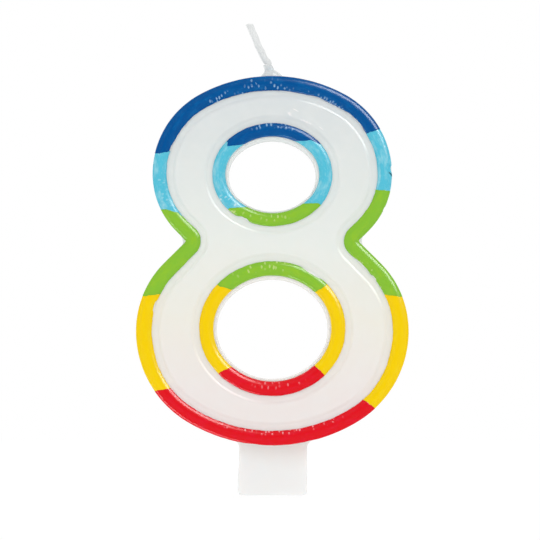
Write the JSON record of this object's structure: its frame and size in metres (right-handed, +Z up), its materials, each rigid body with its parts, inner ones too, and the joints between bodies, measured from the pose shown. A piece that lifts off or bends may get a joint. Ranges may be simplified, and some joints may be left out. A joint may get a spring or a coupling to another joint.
{
  "type": "number birthday candle",
  "caption": "Number birthday candle shaped as an 8: cast white wax digit on a flat cake stem, with raised edges lacquered in rainbow bands and a leaning bendable wick.",
  "frame": {"origin": "middle of the candle's width and thickness, at the level of the stem's flat foot", "axes": "+X across the digit as it is read from left to right, -Y out of the painted front face, +Z up the digit from the stem to the wick"},
  "size_m": [0.0496, 0.0092, 0.0859],
  "materials": {
    "wax": "smooth translucent white candle wax, soft satin",
    "lacquer_navy": "glossy mid-blue dyed wax lacquer",
    "lacquer_sky": "glossy sky-blue dyed wax lacquer",
    "lacquer_green": "glossy leaf-green dyed wax lacquer",
    "lacquer_yellow": "glossy warm-yellow dyed wax lacquer",
    "lacquer_red": "glossy red dyed wax lacquer",
    "wick_cotton": "braided white cotton stiffened with wax"
  },
  "bodies": {
    "candle": {"wax_body": "wax", "wick_collar": "wax", "wick_buried": "wick_cotton", "lower_hole_coat_green": "lacquer_green", "lower_hole_coat_red": "lacquer_red", "lower_hole_coat_yellow_left": "lacquer_yellow", "lower_hole_coat_yellow_right": "lacquer_yellow", "rim_coat_green_left": "lacquer_green", "rim_coat_green_right": "lacquer_green", "rim_coat_navy": "lacquer_navy", "rim_coat_red": "lacquer_red", "rim_coat_sky_left": "lacquer_sky", "rim_coat_sky_right": "lacquer_sky", "rim_coat_yellow_left": "lacquer_yellow", "rim_coat_yellow_right": "lacquer_yellow", "upper_hole_coat_green": "lacquer_green", "upper_hole_coat_navy": "lacquer_navy", "upper_hole_coat_sky_left": "lacquer_sky", "upper_hole_coat_sky_right": "lacquer_sky"},
    "wick": {"wick_free": "wick_cotton"}
  },
  "joints": [
    {"name": "wick_bend", "type": "hinge", "parent": "candle", "child": "wick", "pos_m": [-0.00092, 0, 0.0784], "axis": [0, 1, 0], "range_deg": [-25, 75]}
  ]
}
